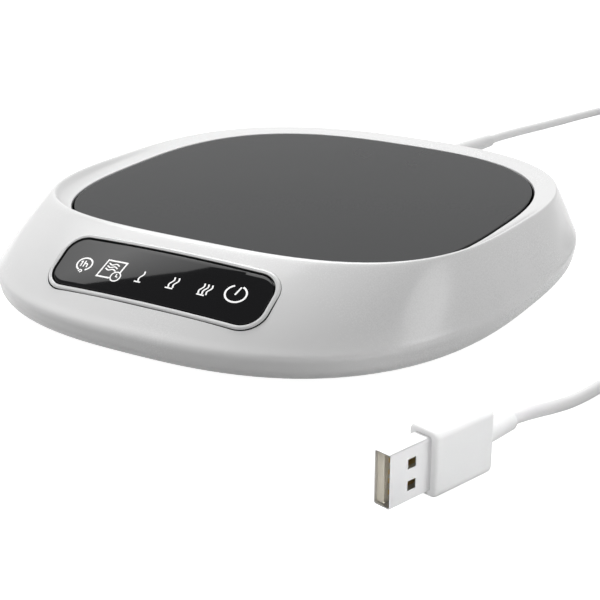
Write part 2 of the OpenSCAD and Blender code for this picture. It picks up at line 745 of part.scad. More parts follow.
// Moulded strain relief through the back wall
module cord_bushing() {
    reach = norm(boot_end - port);
    color("white") translate(port) rotate([-90 - boot_dip, 0, boot_turn]) {
        translate([0, 0, boot_root_y - port[1]]) cylinder(d = boot_d, h = port[1] - boot_root_y + 2.5);
        translate([0, 0, 2.5 - eps]) cylinder(d1 = boot_d, d2 = cord_d + 1.2, h = reach - 2.5 + eps);
    }
}

// Bar that grips the lead on its seat
module cord_clamp() {
    color([0.85, 0.85, 0.85]) difference() {
        translate([clamp_x, clamp_y, clamp_z + clamp_t / 2])
            cube([2 * clamp_span + 5, 5, clamp_t], center = true);
        at_clamp_screws(clamp_z - 1) cylinder(d = small_screw_d + 0.3, h = clamp_t + 2);
    }
}
module clamp_screws() {
    color("silver") at_clamp_screws(clamp_z + clamp_t + 0.6 * small_screw_d) screw(small_screw_d, 6);
}

// Lead from the strain relief to the coil
module cord_lead() { color("white") tube(lead_route, cord_d / 2); }

// Outer shape of the coiled length
module cord_coil() {
    layers = ceil(coil_turns / 2);
    half = layers * cord_d / 2;
    color("white") translate([coil_at[0], coil_at[1], 0]) rotate_extrude($fn = 64)
        polygon([[coil_mid_r - half, 0], [coil_mid_r + half, 0], [coil_mid_r + half, cord_d],
            [coil_mid_r + half - cord_d / 2, 1.87 * cord_d], [coil_mid_r - half + cord_d / 2, 1.87 * cord_d],
            [coil_mid_r - half, cord_d]]);
}

// Lead from the coil to the plug
module cord_tail() { color("white") tube(tail_route, cord_d / 2); }

// The plug lies on its narrow side; +X runs from the lead to the shell's mouth
module at_plug() { translate(plug_at) rotate([-90, 0, plug_turn]) children(); }

module plug_strain_relief() {
    color("white") at_plug() rotate([0, 90, 0]) cylinder(d1 = cord_d + 1.4, d2 = relief_d, h = relief_l);
}
module plug_body() {
    color("white") at_plug() translate([relief_l, 0, 0]) rotate([90, 0, 90]) linear_extrude(mould_l)
        round_rect(mould_w, mould_h, 1.6);
}
module plug_shell() {
    color("silver") at_plug() translate([relief_l + mould_l, 0, 0]) difference() {
        rotate([90, 0, 90]) linear_extrude(usb_l) difference() {
            square([usb_w, usb_h], center = true);
            square([usb_w - 2 * usb_t, usb_h - 2 * usb_t], center = true);
        }
        for (y = [-1, 1], z = [-1, 1]) translate([usb_l - 6.2, y * usb_w / 5, z * usb_h / 2])
            cube([2.4, 2.2, 4 * usb_t], center = true);
    }
}
tongue_t = 1.8;
tongue_z = -usb_h / 2 + usb_t + tongue_t;
module plug_tongue() {
    w = usb_w - 2 * usb_t - 2 * slip;
    color([0.95, 0.95, 0.95]) at_plug() translate([relief_l + mould_l, -w / 2, tongue_z - tongue_t])
        cube([usb_l - 0.8, w, tongue_t]);
}
module plug_contacts() {
    color("gold") at_plug() for (y = [-3.5, -1, 1, 3.5])
        translate([relief_l + mould_l + 1.5, y - 0.5, tongue_z]) cube([usb_l - 3.5, 1, 0.2]);
}
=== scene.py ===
"""Electric mug warmer: a low white body with a sprung glass plate, a touch panel on the sloping front
and a thin lead with a USB-A plug. Lengths are in millimetres until they become vertices."""

import math

import bmesh
import bpy
import numpy as np
from mathutils import Matrix, Quaternion, Vector


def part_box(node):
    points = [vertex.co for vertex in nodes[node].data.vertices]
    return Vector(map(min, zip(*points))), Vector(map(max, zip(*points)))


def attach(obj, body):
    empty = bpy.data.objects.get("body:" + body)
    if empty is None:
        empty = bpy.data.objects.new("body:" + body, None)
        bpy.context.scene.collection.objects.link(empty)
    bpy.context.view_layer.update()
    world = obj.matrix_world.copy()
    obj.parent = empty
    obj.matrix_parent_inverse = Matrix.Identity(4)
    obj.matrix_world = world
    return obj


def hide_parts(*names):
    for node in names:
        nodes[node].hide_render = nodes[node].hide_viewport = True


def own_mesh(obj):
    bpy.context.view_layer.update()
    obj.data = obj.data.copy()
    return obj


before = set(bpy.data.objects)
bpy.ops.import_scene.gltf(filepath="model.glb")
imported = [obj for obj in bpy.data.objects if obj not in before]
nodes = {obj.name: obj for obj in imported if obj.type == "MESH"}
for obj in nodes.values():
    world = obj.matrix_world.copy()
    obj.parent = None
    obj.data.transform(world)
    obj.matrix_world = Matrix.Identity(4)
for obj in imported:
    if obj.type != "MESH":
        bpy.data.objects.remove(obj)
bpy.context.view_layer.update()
MM = 0.001


# ---- Camera: a long lens that looks down at the body from the right of its front. From so far off,
# the body's back draws in only a little against its front.
eye = Vector((206.29, -346.47, 145.95)) * MM
camera_turn, camera_dip, camera_roll = (math.radians(a) for a in (30.601, 21.176, 0.119))
look = Vector((-math.sin(camera_turn) * math.cos(camera_dip),
               math.cos(camera_turn) * math.cos(camera_dip), -math.sin(camera_dip)))
camera = bpy.data.objects.new("camera", bpy.data.cameras.new("camera"))
sensor_w, focal, frame_px = 36, 1493.9, 600
camera.data.sensor_width = sensor_w
camera.data.lens = sensor_w * focal / frame_px
camera.data.clip_start = 0.01
camera.location = eye
camera.rotation_mode = "QUATERNION"
camera.rotation_quaternion = look.to_track_quat("-Z", "Y") @ Quaternion((0, 0, 1), camera_roll)
bpy.context.scene.collection.objects.link(camera)
bpy.context.scene.camera = camera
bpy.context.scene.view_settings.view_transform = "Standard"


# ---- Lead: a 3 mm white jacket from the strain relief down to the table, wound up beside the
# body and on to the plug. One smooth line is its centre; the coil's turns lie a diameter apart.
cord_d = 3.0
lead_route = [
    (8, 116.6, 11.5), (7.95, 119.5, 11.3), (7.8, 124.5, 10.8), (7.8, 130.8, 10.1), (8, 144, 8.6),
    (8.4, 153, 7.6), (8.9, 162, 6.6), (9.4, 171, 5.7), (10, 180, 4.8), (10.6, 189, 4), (11.4, 198, 3.2),
    (12.2, 206, 2.5), (13.2, 213, 2), (14.6, 219.5, 1.6), (17.2, 225.2, 1.5), (22.2, 229.6, 1.5),
    (29.2, 231, 1.5), (36.2, 228.4, 1.5), (42.4, 222, 1.5), (47, 213.5, 1.5), (51, 204, 1.5),
    (54, 195, 1.5), (56.5, 186, 1.5), (59, 177, 1.5), (61, 168, 1.5), (62.7, 159, 1.5), (63.9, 150, 1.5),
    (64.6, 141, 1.5), (65, 132, 1.5), (65, 123, 1.5), (65, 114, 1.5), (65, 107, 1.5)]
tail_route = [
    (66.7, 95, 4.5), (68, 88.5, 4.3), (70.6, 81.5, 3), (74, 75, 1.9), (78, 67.5, 1.5),
    (82.5, 60, 1.5), (87, 52, 1.5), (91.3, 43.5, 1.5), (95.3, 35, 1.5), (98.8, 26, 1.5),
    (102, 17, 1.5), (104.6, 8, 1.5), (106.4, -1, 1.5), (107.3, -10, 1.5), (107.3, -18.5, 1.5),
    (106.5, -26.5, 1.5), (105.4, -34, 1.5), (104.4, -40.5, 1.6), (103.6, -46.5, 2.1),
    (102.9, -52.2, 2.9), (102.2, -57.6, 4), (101.5, -62.8, 5.2), (100.7, -67.6, 6.3),
    (99.9, -71.8, 7.1), (99.2, -74.7, 7.5), (98.6, -76.8, 7.5)]
coil_at = (86.0, 101.5)
coil_radii = [21, 18, 15, 12, 13.5, 16.5, 19.5, 19.5]
coil_heights = [1.5, 1.5, 1.5, 1.5, 4.1, 4.1, 4.1, 4.1]


def smooth_line(points, steps):
    """The points again, with a smooth curve through them in that many steps each."""
    p = np.asarray(points, float)
    p = np.concatenate([2 * p[:1] - p[1:2], p, 2 * p[-1:] - p[-2:-1]])
    flat = [1] * (p.ndim - 1)
    chord = np.diff(p, axis=0)
    span = np.sqrt(np.linalg.norm(chord, axis=-1).reshape(len(chord), -1).mean(axis=1)).reshape(-1, *flat)
    slope = chord / span
    lean = slope[:-1] - (p[2:] - p[:-2]) / (span[1:] + span[:-1]) + slope[1:]
    t = (np.arange(steps) / steps).reshape(-1, *flat)
    parts = [(2 * t**3 - 3 * t**2 + 1) * a + (t**3 - 2 * t**2 + t) * w * u + (3 * t**2 - 2 * t**3) * b
             + (t**3 - t**2) * w * v
             for a, b, u, v, w in zip(p[1:-2], p[2:-1], lean, lean[1:], span[1:-1])]
    return np.concatenate([*parts, p[-2:-1]])


def wire_curve(name, lines, radius, sides=6):
    """Round wires along lists of points, as one curve object."""
    curve = bpy.data.curves.new(name, "CURVE")
    curve.dimensions = "3D"
    curve.bevel_depth = radius * MM
    curve.bevel_resolution = sides
    curve.use_fill_caps = True
    for line in lines:
        spline = curve.splines.new("POLY")
        spline.points.add(len(line) - 1)
        spline.points.foreach_set("co", np.c_[np.asarray(line) * MM, np.ones(len(line))].ravel())
        spline.use_smooth = True
    made = bpy.data.objects.new(name, curve)
    bpy.context.scene.collection.objects.link(made)
    return made


coil = []
turn_steps, step_over = 24, 0.86
for step in range(turn_steps * (len(coil_radii) - 1) + 1):
    turn, share = divmod(step / turn_steps, 1)
    shift = min(max((share - step_over) / (1 - step_over), 0), 1)
    shift = shift * shift * (3 - 2 * shift)
    now, then = int(turn), min(int(turn) + 1, len(coil_radii) - 1)
    r = coil_radii[now] + (coil_radii[then] - coil_radii[now]) * shift
    angle = math.pi * (1 + 2 * step / turn_steps)
    coil.append((coil_at[0] + r * math.cos(angle), coil_at[1] + r * math.sin(angle),
                 coil_heights[now] + (coil_heights[then] - coil_heights[now]) * shift))
cord_line = smooth_line(lead_route + coil + tail_route, 4)
cord = wire_curve("white_lead", [cord_line], cord_d / 2)


# ---- Finishes: a Wire is one output socket, and sums on it add Math nodes. A Finish is a material
# (or the surround) round its shader; node() adds any other node by its type, settings and sockets.
class Wire:
    def __init__(self, finish, out):
        self.finish, self.out = finish, out

    def math(self, operation, other):
        return self.finish.node("ShaderNodeMath", {"operation": operation}, {0: self, 1: other})

    def __add__(self, other):
        return self.math("ADD", other)

    def __mul__(self, other):
        return self.math("MULTIPLY", other)

    def __gt__(self, other):
        return self.math("GREATER_THAN", other)

    def __lt__(self, other):
        return self.math("LESS_THAN", other)

    __radd__ = __add__
    __rmul__ = __mul__


class Finish:
    def __init__(self, name, store=bpy.data.materials, shader="Principled BSDF"):
        self.block = store.new(name)
        self.block.use_nodes = True
        self.tree = self.block.node_tree
        self.shader = self.tree.nodes[shader]

    def node(self, kind, settings=None, sockets=None, out=0):
        made = self.tree.nodes.new(kind)
        for key, value in (settings or {}).items():
            setattr(made, key, value)
        self.feed(made, sockets or {})
        return Wire(self, made.outputs[out])

    def feed(self, node, sockets):
        for key, value in sockets.items():
            if isinstance(value, Wire):
                self.tree.links.new(value.out, node.inputs[key])
            else:
                node.inputs[key].default_value = value

    def surface(self, sockets):
        self.feed(self.shader, sockets)
        return self

    def place(self):
        return self.node("ShaderNodeTexCoord", out=3)

    def noise(self, scale, detail=2.0, rough=0.5, place=None):
        return self.node("ShaderNodeTexNoise", {}, {
            "Vector": place or self.place(), "Scale": scale, "Detail": detail, "Roughness": rough})

    def stretched(self, x, y, z):
        """The place on the piece, with each direction scaled on its own, for grain that runs one way."""
        return self.node("ShaderNodeVectorMath", {"operation": "MULTIPLY"},
                         {0: self.place(), 1: (x, y, z)})

    def mix(self, share, a, b):
        return self.node("ShaderNodeMix", {"data_type": "RGBA"}, {0: share, 6: a, 7: b}, out=2)

    def bump(self, height, strength, depth):
        """Small relief, with the height of its grain in millimetres."""
        return self.node("ShaderNodeBump", {}, {
            "Height": height, "Strength": strength, "Distance": depth * MM})


def grey(level):
    return (level, level, level, 1)


def moulded(name, colour, rough, grain=600, depth=0.02, uneven=0.012):
    """Moulded plastic or rubber: the colour drifts a little, and fine grain breaks the gloss."""
    finish = Finish(name)
    drift = finish.noise(22, 3)
    fine = finish.noise(grain * 4, 4, 0.6)
    dark = tuple(c * (1 - 4 * uneven) for c in colour[:3]) + (1,)
    return finish.surface({
        "Base Color": finish.mix(drift, dark, colour),
        "Roughness": drift * 0.08 + fine * 0.08 + (rough - 0.08),
        "Normal": finish.bump(fine, 0.35, depth)})


def finished(obj, finish, body="root", replaces=()):
    """Gives a piece its material and the body that it rides, and hides the solids that it
    stands for."""
    obj.data.materials.clear()
    obj.data.materials.append(finish.block)
    if obj.type == "MESH":
        obj.modifiers.new("even_shade", "WEIGHTED_NORMAL").keep_sharp = True
    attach(obj, body)
    if replaces:
        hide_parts(*replaces)
    return obj


def dressed(node, finish):
    """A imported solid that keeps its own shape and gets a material."""
    nodes[node].data.materials.clear()
    nodes[node].data.materials.append(finish.block)


jacket = moulded("lead_jacket", grey(0.86), 0.42, grain=300, depth=0.01)
finished(cord, jacket, replaces=("cord_lead", "cord_coil", "cord_tail"))


# ---- Coil tie: a short strap of soft white hook tape, wrapped once round the turns on the side
# away from the body, with its end folded over the top.
tie_w, tie_t = 6.0, 0.45
tie_in, tie_out, tie_top = 10.3, 22.7, 6.15


def skin(name, points, faces, smooth=40):
    """A mesh object from points in millimetres, shaded smooth up to that angle."""
    mesh = bpy.data.meshes.new(name)
    mesh.from_pydata([Vector(p) * MM for p in points], [], faces)
    work = bmesh.new()
    work.from_mesh(mesh)
    bmesh.ops.recalc_face_normals(work, faces=work.faces)
    work.to_mesh(mesh)
    work.free()
    mesh.shade_smooth()
    mesh.set_sharp_from_angle(angle=math.radians(smooth))
    made = bpy.data.objects.new(name, mesh)
    bpy.context.scene.collection.objects.link(made)
    return made


def ring_skin(rings, closed=True):
    """Points and faces of a skin through rings of equal count. A closed one joins its last ring to
    its first; an open one gets a cap at each end."""
    rings = np.asarray(rings, float)
    m, n = rings.shape[:2]
    around = np.arange(n)
    faces = []
    for k in range(m if closed else m - 1):
        a, b = k * n + around, ((k + 1) % m) * n + around
        faces += np.c_[a, np.roll(a, -1), np.roll(b, -1), b].tolist()
    if not closed:
        faces += [around[::-1].tolist(), ((m - 1) * n + around).tolist()]
    return rings.reshape(-1, 3), faces


def loop_outline(half_x, half_z, radius, steps=8):
    """Rounded rectangle round the origin, counter-clockwise, as rows of two numbers."""
    corners = [(1, 1, 0), (-1, 1, 90), (-1, -1, 180), (1, -1, 270)]
    return np.array([(sx * (half_x - radius) + radius * math.cos(math.radians(start + 90 * i / steps)),
                      sz * (half_z - radius) + radius * math.sin(math.radians(start + 90 * i / steps)))
                     for sx, sz, start in corners for i in range(steps + 1)])


tie_mid, tie_half, tie_up = (tie_in + tie_out) / 2, (tie_out - tie_in) / 2, tie_top / 2
tie_rings = []
for side, grow in ((-1, 0), (1, 0), (1, -tie_t), (-1, -tie_t)):
    line = loop_outline(tie_half + grow, tie_up + grow, 2.2 + grow)
    tie_rings.append([(coil_at[0] + side * tie_w / 2, coil_at[1] + tie_mid + y, tie_up + z)
                      for y, z in line])
tie = skin("coil_tie", *ring_skin(tie_rings), smooth=50)
tab_half, tab_round, tab_lift = 3.6, 1.4, 0.02
tie_tab = loop_outline(tab_half, tie_w / 2, tab_round)
tab_rings = [[(coil_at[0] + v, coil_at[1] + tie_mid + u, tie_top + z + tab_lift * (u + 3))
              for u, v in tie_tab * scale] for z, scale in ((-0.05, 1), (0.3, 1), (0.42, 0.95))]
tab = skin("coil_tie_tab", *ring_skin(tab_rings, closed=False), smooth=50)
tape = Finish("hook_tape")
loops = tape.noise(2600, 3, 0.7)
tape.surface({"Base Color": tape.mix(loops, grey(0.62), grey(0.82)), "Roughness": loops * 0.2 + 0.7,
              "Normal": tape.bump(loops, 0.8, 0.15)})
finished(tie, tape)
finished(tab, tape)


# ---- Plug: a USB-A plug lying on its narrow side. Its own frame has +X from the lead to the mouth
# and +Z out of the broad side; a white overmould holds the sleeve and the nickel-plated shell.
plug_at, plug_turn = Vector((98.6, -76.8, 7.5)), math.radians(-106)
relief_l, mould_l, usb_l = 10.0, 17.4, 11.8
mould_w, mould_h, usb_w, usb_h, sheet_t = 15.0, 8.0, 12.0, 4.5, 0.3
plug_frame = (Matrix.Translation(plug_at) @ Matrix.Rotation(plug_turn, 4, "Z")
              @ Matrix.Rotation(-math.pi / 2, 4, "X"))


def placed(matrix, points):
    """Points moved by a matrix whose own lengths are in millimetres."""
    p = np.c_[np.asarray(points, float).reshape(-1, 3), np.ones(np.asarray(points).size // 3)]
    return (p @ np.array(matrix).T)[:, :3]


def turned(profile, count=64):
    """Rings of a turned shape about X, from rows of (place along it, radius)."""
    angles = np.linspace(0, 2 * math.pi, count, endpoint=False)
    return [[(x, r * math.cos(a), r * math.sin(a)) for a in angles] for x, r in profile]


def swept(outline, profile):
    """Rings of a rounded rectangle along X, from rows of (place along it, how far it is drawn in)."""
    half_y, half_z, radius = outline
    return [[(x, y, z) for y, z in loop_outline(half_y - s, half_z - s, max(radius - s, 0.05))]
            for x, s in profile]


sleeve_line = [(-0.2, 1.55), (-0.2, 1.95), (0.0, 2.12), (0.35, 2.22), (2, 2.33), (6, 2.58), (9, 2.74),
               (9.75, 2.82), (10.1, 3.05), (10.4, 3.1)]
points, faces = ring_skin(turned(sleeve_line), closed=False)
sleeve = skin("plug_sleeve", placed(plug_frame, points), faces)

points, faces = ring_skin(swept((mould_w / 2, mould_h / 2, 1.7), [
    (10.0, 1.1), (10.0, 0.6), (10.12, 0.25), (10.4, 0.08), (10.9, 0.02), (12, 0), (22, 0), (26.2, 0.02),
    (26.9, 0.1), (27.25, 0.3), (27.4, 0.65), (27.4, 1.2)]), closed=False)
grip = skin("plug_grip", placed(plug_frame, points), faces)

shell_from, shell_to = relief_l + mould_l - 4, relief_l + mould_l + usb_l
can_outside = swept((usb_w / 2, usb_h / 2, 0.62), [
    (shell_from, 0), (shell_to - 0.25, 0), (shell_to - 0.07, 0.06), (shell_to, 0.17)])
can_inside = swept((usb_w / 2 - sheet_t, usb_h / 2 - sheet_t, 0.4), [
    (shell_to - 0.1, -0.02), (shell_to - 0.4, 0), (shell_from, 0)])
points, faces = ring_skin(can_outside + can_inside)
shell = skin("plug_can", placed(plug_frame, points), faces)


def cut(piece, tools):
    """Takes the tools out of a piece, then removes them."""
    for tool in tools:
        cutting = piece.modifiers.new("cut", "BOOLEAN")
        cutting.operation, cutting.solver, cutting.object = "DIFFERENCE", "EXACT", tool
    whole = piece.evaluated_get(bpy.context.evaluated_depsgraph_get())
    mesh = bpy.data.meshes.new_from_object(whole)
    piece.modifiers.clear()
    piece.data = mesh
    for tool in tools:
        bpy.data.objects.remove(tool)


window_at, window_l, window_w = shell_to - 6.2, 2.4, 2.2
windows = []
for y in (-1, 1):
    for z in (-1, 1):
        middle = Vector((window_at, y * usb_w / 5, z * usb_h / 2))
        rings = [[(middle.x + u, middle.y + v, middle.z + h) for u, v in
                  loop_outline(window_l / 2, window_w / 2, 0.12, 3)] for h in (-0.8, 0.8)]
        points, faces = ring_skin(rings, closed=False)
        windows.append(skin("window_tool", placed(plug_frame, points), faces))
cut(shell, windows)

overmould = moulded("plug_overmould", grey(0.87), 0.38, grain=350, depth=0.012)
nickel = Finish("nickel_plate")
roll = nickel.noise(900, 3, 0.6, nickel.stretched(1, 1, 0.2))
nickel.surface({
    "Base Color": nickel.mix(nickel.noise(60), (0.68, 0.68, 0.69, 1), (0.78, 0.78, 0.78, 1)),
    "Metallic": 1.0, "Roughness": roll * 0.1 + 0.36, "Normal": nickel.bump(roll, 0.15, 0.004)})
tongue_finish = moulded("plug_tongue_plastic", (0.90, 0.84, 0.70, 1), 0.45)
gold = Finish("gold_plate")
wear = gold.noise(1500, 3)
gold.surface({"Base Color": gold.mix(wear, (0.86, 0.62, 0.24, 1), (0.94, 0.74, 0.36, 1)), "Metallic": 1.0,
              "Roughness": wear * 0.15 + 0.22})
finished(sleeve, overmould, replaces=("plug_strain_relief",))
finished(grip, overmould, replaces=("plug_body",))
finished(shell, nickel, replaces=("plug_shell",))
dressed("plug_tongue", tongue_finish)
dressed("plug_contacts", gold)


# ---- Strain relief at the body: a slim moulded sleeve through the back wall, a little thicker than
# the lead at its free end, where it stops in a small square step.
port, boot_end = Vector((5.6, 78.9, 13.9)), Vector((8, 116.5, 11.5))
boot_root_y, boot_d = 74.6, 5.2
along = (boot_end - port).normalized()
boot_frame = Matrix.Translation(port) @ along.to_track_quat("X", "Z").to_matrix().to_4x4()
reach = (boot_end - port).length
root = boot_root_y - port.y
boot_line = [(root, 1.6), (root, boot_d / 2 - 0.3), (root + 0.3, boot_d / 2), (2.5, boot_d / 2),
             (8, 2.53), (16, 2.42), (24, 2.31), (reach - 4, 2.16), (reach - 1, 2.1), (reach - 0.35, 2.08),
             (reach - 0.08, 2.0), (reach, 1.85), (reach, 1.4)]
points, faces = ring_skin(turned(boot_line), closed=False)
boot = skin("cord_boot", placed(boot_frame, points), faces)
boot_rubber = moulded("boot_rubber", grey(0.84), 0.48, grain=300)
finished(boot, boot_rubber, replaces=("cord_bushing",))


# ---- Table and light: a white table that still takes the shadow, under a white surround. Four soft
# lamps stand high behind, left, right and over the plug, and a lit card shows in reflections alone.
table_half = 4000


def rays(finish):
    """One for each ray of that kind, and zero for the others: from the camera, mirrored, let through."""
    return [finish.node("ShaderNodeLightPath", out=f"Is {ray} Ray")
            for ray in ("Camera", "Glossy", "Transmission")]


table = skin("table", [(x * table_half, y * table_half, 0)
                       for x, y in ((-1, -1), (1, -1), (1, 1), (-1, 1))], [(0, 1, 2, 3)])
table_top = Finish("table_top")
seen, shiny, through = rays(table_top)
glow = table_top.mix(seen * 0.95 + shiny * 0.6 + through * 0.95, grey(0), grey(1))
table_top.surface({"Base Color": grey(0.45), "Roughness": 0.9, "Specular IOR Level": 0.0,
                   "Emission Color": glow, "Emission Strength": 1.0})
table.data.materials.append(table_top.block)

surround = Finish("surround", bpy.data.worlds, "Background")
bpy.context.scene.world = surround.block
seen, shiny, through = rays(surround)
way = surround.node("ShaderNodeTexCoord", out="Generated")
height = surround.node("ShaderNodeSeparateXYZ", sockets={0: way}, out="Z")
mirrored = surround.node("ShaderNodeMapRange", {"interpolation_type": "SMOOTHSTEP"}, {
    "Value": height, "From Min": 0.46, "From Max": 0.7, "To Min": 0.75, "To Max": 0.16})
lit = surround.node("ShaderNodeVectorMath", {"operation": "DOT_PRODUCT"},
                    {0: way, 1: (-0.15, 0.30, 0.10)}, out="Value") + 0.49
on_piece = surround.node("ShaderNodeMix", sockets={0: shiny, 2: lit, 3: mirrored})
strength = surround.node("ShaderNodeMix", sockets={0: seen.math("MAXIMUM", through),
                                                   2: on_piece, 3: 1.0})
surround.surface({"Color": grey(1), "Strength": strength})


def soft_lamp(name, at, aim, size, power):
    lamp = bpy.data.objects.new(name, bpy.data.lights.new(name, "AREA"))
    lamp.data.shape, lamp.data.size, lamp.data.energy = "DISK", size * MM, power
    lamp.location = Vector(at) * MM
    lamp.rotation_mode = "QUATERNION"
    lamp.rotation_quaternion = (Vector(aim) - Vector(at)).to_track_quat("-Z", "Y")
    bpy.context.scene.collection.objects.link(lamp)
    return lamp


high_lamp = soft_lamp("high_lamp", (-425, 620, 925), (0, 0, 20), 900, 6.3)
high_lamp.data.shape, high_lamp.data.size_y = "ELLIPSE", 420 * MM
soft_lamp("left_lamp", (-480, -150, 450), (0, 0, 20), 300, 1.5).visible_glossy = False
soft_lamp("right_lamp", (850, 250, 650), (0, 0, 20), 500, 1.6)
plug_lamp = soft_lamp("plug_lamp", (172, -200, 175), (96, -94, 8), 30, 0.0042)
plug_lamp.data.spread, plug_lamp.visible_glossy = math.radians(20), False

card_z = 1000
card_edge = [(-1300, -25), (-1000, -48), (-895, -56), (-800, -64), (-684, -71), (-590, -74), (-535, -72),
             (-480, -63), (-250, -20), (-250, 300), (-1300, 300)]
card = skin("lens_card", [(x, y, card_z) for x, y in card_edge], [tuple(range(len(card_edge)))])
for kind in ("camera", "diffuse", "shadow", "transmission", "volume_scatter"):
    setattr(card, f"visible_{kind}", False)
card_glow = Finish("card_glow")
spot = card_glow.node("ShaderNodeTexCoord", out=0)
right = card_glow.node("ShaderNodeSeparateXYZ", sockets={0: spot}, out=0)
back = card_glow.node("ShaderNodeSeparateXYZ", sockets={0: spot}, out=1)
rise = (back * 3.4 + 0.5).math("MINIMUM", 0.9)
fade = (right * 1.35 + 0.35).math("MINIMUM", 1.0)
card_glow.surface({"Base Color": grey(0), "Specular IOR Level": 0.0, "Emission Strength": 3.0,
                   "Emission Color": card_glow.mix(rise * fade, grey(0), grey(1))})
card.data.materials.append(card_glow.block)


# ---- Body: the white moulding, a soft rounded square whose sides climb from a crease to the rim,
# then fall into a shallow dish. It is one part with its inner wall, pocket, cord hole and bosses.
opening_w, plate_z, dish_w, rim_back, rim_h, rim_tilt = 120.0, 20.5, 5.3, 3.6, 2.2, 1.8
body_w, front_extra, crease_z, side_bulge, wall = 147.0, 15.0, 7.6, 0.155, 2.2
plate_y = front_extra / 2
crease_plan = np.array([body_w / 2, (body_w + front_extra) / 2, 2.65, 0, 2.65])
rim_plan = np.array([opening_w / 2 + dish_w, opening_w / 2 + dish_w, 2.55, plate_y + rim_back, 3.3])
opening_plan = np.array([opening_w / 2, opening_w / 2, 2.72, plate_y, 3.05])
rim_z = plate_z + rim_h
lip_z, throat_z = 17.8, 19.3
body_points, body_sharp = 288, 35


def plan_ring(plan, inset=0.0, z=0.0, tilt=0.0):
    """Rounded square ring: plan is half width, half depth, squareness behind, the place of its middle
    and squareness in front."""
    t = np.linspace(0, 2 * math.pi, body_points, endpoint=False)
    a, b, mid, n = plan[0] - inset, plan[1] - inset, plan[3], np.where(np.sin(t) < 0, plan[4], plan[2])
    r = (abs(np.cos(t) / a) ** n + abs(np.sin(t) / b) ** n) ** (-1 / n)
    x, y = r * np.cos(t), r * np.sin(t) + mid
    return np.stack([x, y, z - tilt * (y - plate_y) / (opening_w / 2)], axis=1)


def side_share(u):
    """How much of its way in the side has made at that share of its height; it bulges a little."""
    return 1 - (1 - u) * (1 + side_bulge * u)


def side_ring(u, inset=0.0, drop=0.0):
    """A ring of the outer side, from the crease at 0 to the rim at 1."""
    plan = crease_plan + (rim_plan - crease_plan) * side_share(u)
    return plan_ring(plan, inset, crease_z + (rim_z - crease_z) * u - drop, rim_tilt * u)


def dish_ring(v, drop=0.0):
    """A ring of the dish, from the rim at 0 to the plate's opening at 1."""
    fall = (1 - v) ** 1.5
    plan = rim_plan + (opening_plan - rim_plan) * v
    return plan_ring(plan, 0, plate_z + rim_h * fall - drop, rim_tilt * fall)


outer = [plan_ring(crease_plan, inset, z)
         for inset, z in ((4.25, 1.22), (3.4, 1.3), (2, 1.9), (0.8, 3.4), (0.25, 5.6))]
outer += [side_ring(u) for u in (0, 0.12, 0.35, 0.6, 0.8, 0.9)]
outer += [side_ring(0.955, 0, 0.03), side_ring(0.985, 0, 0.14), side_ring(1, 0.05, 0.26),
          side_ring(1, 0.55, 0.28), dish_ring(0.4), dish_ring(0.62), dish_ring(0.82),
          dish_ring(0.93, 0.01), plan_ring(opening_plan, -0.12, plate_z - 0.05),
          plan_ring(opening_plan, 0, plate_z - 0.25)]
inner = [plan_ring(opening_plan, inset, z) for inset, z in ((0, throat_z), (0, lip_z), (-3, lip_z))]
inner += [side_ring(u, 0.65 * wall, 0.9 * wall) for u in (0.8, 0.65, 0.5, 0.35, 0.2)]
inner += [plan_ring(crease_plan, wall, crease_z - 0.45 * wall), plan_ring(crease_plan, 4, 4.9),
          plan_ring(crease_plan, 5.6, 3.4), plan_ring(crease_plan, 5.6, 1.2)]
body = skin("white_body", *ring_skin(np.concatenate([smooth_line(outer, 5), inner])), smooth=body_sharp)

boss_r, boss_z, boss_top, screw_in, screw_hole = 3.0, 4.6, 10.6, 10.0, 1.35
corner_angles = [math.radians(a) for a in (45, 135, 225, 315)]
rib_in, rib_out, rib_half, rib_top, blind = 2.4, 8.6, 0.8, 7.4, 1.4
boss_parts = []
for t in corner_angles:
    n, a, b = crease_plan[2], crease_plan[0] - screw_in, crease_plan[1] - screw_in
    r = (abs(math.cos(t) / a) ** n + abs(math.sin(t) / b) ** n) ** (-1 / n)
    stand = Matrix.Translation((r * math.cos(t), r * math.sin(t), 0)) @ Matrix.Rotation(t, 4, "Z")
    upright = stand @ Matrix.Rotation(-math.pi / 2, 4, "Y")
    tube = turned([(boss_z, screw_hole), (boss_z, boss_r - 0.2), (boss_z + 0.2, boss_r),
                   (boss_top, boss_r), (boss_top, screw_hole * 0.5), (boss_top - blind, screw_hole * 0.5),
                   (boss_top - blind, screw_hole)], 32)
    points, faces = ring_skin(tube)
    boss_parts.append((placed(upright, points), faces))
    rib = [[(rib_in, -rib_half, z), (rib_out, -rib_half, z), (rib_out, rib_half, z),
            (rib_in, rib_half, z)] for z in (boss_z, rib_top)]
    points, faces = ring_skin(rib, closed=False)
    boss_parts.append((placed(stand, points), faces))


# ---- Touch panel: a black gloss lens bowed across its width, held by a raised white ring in a
# pocket of the sloping front. The ring's inner wall and its outer wall down in the fine gap round it
# are painted black: painted shade for the dark lines round the lens and the ring.
panel_up, lens_w, lens_h, lens_r, lens_bow = 0.59, 62.8, 15.6, 5.3, 400.0
frame_w, lens_top, lens_back, seat_z, ledge = 1.45, 0.2, -0.9, -1.3, 2.5
rim_front = plate_y + rim_back - opening_w / 2 - dish_w
front_run, front_rise = (body_w + front_extra) / 2 + rim_front, rim_z + rim_tilt - crease_z
panel_y = rim_front - front_run * (1 - side_share(panel_up))
panel_z = crease_z + front_rise * panel_up
panel_tilt = math.atan(front_rise / (front_run * (1 + side_bulge * (1 - 2 * panel_up))))
panel_frame = Matrix.Translation((0, panel_y, panel_z)) @ Matrix.Rotation(panel_tilt, 4, "X")


